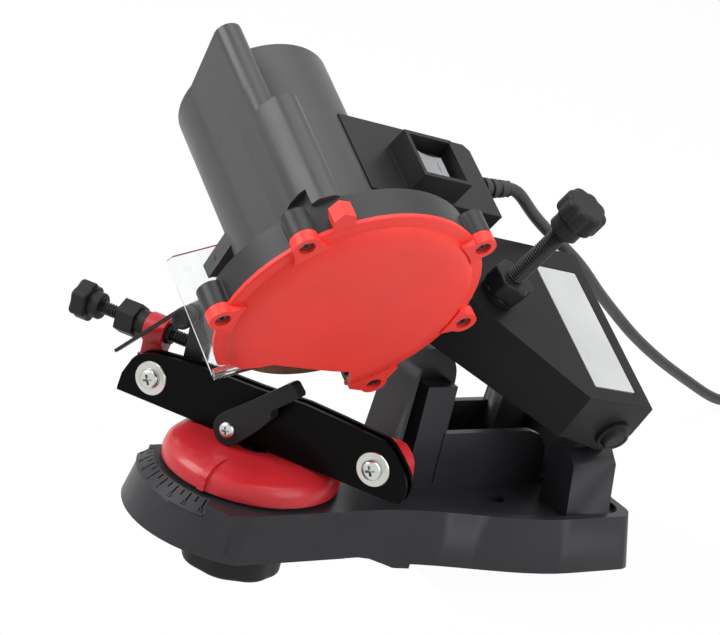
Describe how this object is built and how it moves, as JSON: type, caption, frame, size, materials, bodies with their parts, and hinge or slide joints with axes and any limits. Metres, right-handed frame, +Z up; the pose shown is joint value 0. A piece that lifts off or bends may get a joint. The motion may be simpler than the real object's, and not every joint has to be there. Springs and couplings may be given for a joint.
{
  "type": "saw chain sharpener",
  "caption": "Bench sharpener for saw chains: red-covered grinding wheel and motor on a tilted hinge, chain vise on a red turntable, black base with angle marks.",
  "frame": {"origin": "On the bench top, midway between the two bench bolt holes", "axes": "+X towards the wheel cover, +Y towards the head's hinge and away from the operator, +Z up"},
  "size_m": [0.171, 0.505, 0.23],
  "materials": {
    "base_black": "moulded black plastic with a satin sheen",
    "housing_black": "moulded dark plastic with a satin sheen",
    "knob_black": "moulded black plastic, finely matt",
    "steel": "bright turned steel",
    "washer_zinc": "zinc-plated steel, clear",
    "screw_chrome": "nickel-plated steel",
    "black_oxide": "blackened steel, slightly oily",
    "jaw_black": "black powder coat, glossy, on sheet steel",
    "red_paint": "red enamel on die-cast metal",
    "red_plastic": "red moulded plastic, satin",
    "plate_pale": "blank printed film",
    "clear_plastic": "clear plastic sheet",
    "motor_iron": "laminated iron, varnished",
    "brush_brown": "pressed laminate",
    "fan_black": "moulded nylon",
    "wheel_grit": "resin-bonded grit, dull red-brown",
    "rocker_grey": "grey moulded plastic",
    "cord_rubber": "soft black sheath, slightly dusty",
    "brass": "turned brass"
  },
  "bodies": {
    "base": {"base_casting": "base_black", "hinge_pin": "steel", "hinge_cap": "knob_black", "hinge_nut": "steel", "return_spring": "steel", "mains_lead": "cord_rubber", "lead_coil": "cord_rubber", "lead_tail": "cord_rubber", "mains_plug": "cord_rubber", "plug_pins": "brass"},
    "turntable_body": {"turntable": "red_paint", "rear_jaw": "jaw_black", "jaw_screws": "screw_chrome", "jaw_washers": "washer_zinc", "clamp_bolt": "steel", "lock_bolt": "steel", "lock_washer": "washer_zinc", "stop_carrier": "red_paint", "stop_bush": "knob_black"},
    "jaw_body": {"front_jaw": "jaw_black"},
    "lever_body": {"clamp_lever": "knob_black", "lever_screw": "screw_chrome"},
    "lock_knob_body": {"lock_knob": "knob_black", "lock_insert": "brass"},
    "stop_slide_body": {"stop_bracket": "black_oxide", "pawl_pin": "steel"},
    "stop_screw_body": {"stop_screw": "black_oxide", "stop_knob": "knob_black"},
    "pawl_body": {"pawl": "black_oxide", "pawl_knob": "knob_black"},
    "head": {"head_arm": "housing_black", "rating_plate": "plate_pale", "motor_housing": "housing_black", "motor_cap": "housing_black", "wheel_guard": "housing_black", "wheel_cover": "red_plastic", "cover_screws": "steel", "visor": "clear_plastic", "visor_screws": "steel", "front_bearing": "steel", "rear_bearing": "steel", "field_ring": "motor_iron", "brush_holders": "brush_brown", "switch_box": "housing_black", "switch_body": "fan_black", "strain_relief": "cord_rubber", "depth_insert": "brass"},
    "spindle_body": {"spindle": "steel", "rotor": "motor_iron", "fan": "fan_black", "inner_flange": "steel", "grinding_wheel": "wheel_grit", "outer_flange": "steel", "wheel_nut": "steel"},
    "rocker_body": {"rocker": "rocker_grey"},
    "depth_screw_body": {"depth_screw": "black_oxide", "depth_knob": "knob_black"},
    "lock_nut_body": {"depth_lock_nut": "knob_black"}
  },
  "joints": [
    {"name": "table_turn", "type": "hinge", "parent": "base", "child": "turntable_body", "pos_m": [0, -0.11, 0.026], "axis": [0, 0, 1], "range_deg": [-67, 3]},
    {"name": "jaw_close", "type": "slide", "parent": "turntable_body", "child": "jaw_body", "axis": [-0.5299, 0.848, 0], "range_m": [0, 0.0012]},
    {"name": "lever_turn", "type": "hinge", "parent": "turntable_body", "child": "lever_body", "pos_m": [-0.00466, -0.11763, 0.0445], "axis": [-0.5299, 0.848, 0], "range_deg": [0, 48]},
    {"name": "lock_turn", "type": "hinge", "parent": "turntable_body", "child": "lock_knob_body", "pos_m": [0, -0.11, 0], "axis": [0, 0, 1], "range_deg": [0, 270]},
    {"name": "stop_travel", "type": "slide", "parent": "turntable_body", "child": "stop_slide_body", "axis": [0.848, 0.5299, 0], "range_m": [-0.005, 0.007]},
    {"name": "stop_turn", "type": "hinge", "parent": "stop_slide_body", "child": "stop_screw_body", "pos_m": [-0.0848, -0.15356, 0.066], "axis": [0.848, 0.5299, 0], "continuous": true},
    {"name": "pawl_swing", "type": "hinge", "parent": "stop_slide_body", "child": "pawl_body", "pos_m": [-0.03673, -0.13236, 0.081], "axis": [-0.5299, 0.848, 0], "range_deg": [0, 60]},
    {"name": "head_dip", "type": "hinge", "parent": "base", "child": "head", "pos_m": [0.01521, 0.036, 0.08473], "axis": [0.8829, 0, -0.4695], "range_deg": [0, 5], "stiffness_Nm_per_rad": 6, "springref_deg": -40.11},
    {"name": "wheel_spin", "type": "hinge", "parent": "head", "child": "spindle_body", "pos_m": [0.0354, -0.11, 0.1227], "axis": [0.8829, 0, -0.4695], "continuous": true},
    {"name": "rocker_tip", "type": "hinge", "parent": "head", "child": "rocker_body", "pos_m": [0.00873, -0.06401, 0.16562], "axis": [0.8829, 0, -0.4695], "range_deg": [0, 12]},
    {"name": "depth_set", "type": "slide", "parent": "head", "child": "depth_screw_body", "axis": [0.4583, 0.2164, 0.862], "range_m": [0, 0.008]},
    {"name": "nut_turn", "type": "hinge", "parent": "head", "child": "lock_nut_body", "pos_m": [0.0279, -0.0212, 0.12245], "axis": [0.4583, 0.2164, 0.862], "range_deg": [0, 180]}
  ],
  "couplings": [
    {"joint": "lever_turn", "follows": "jaw_close", "rad_per_m": 698.13}
  ]
}
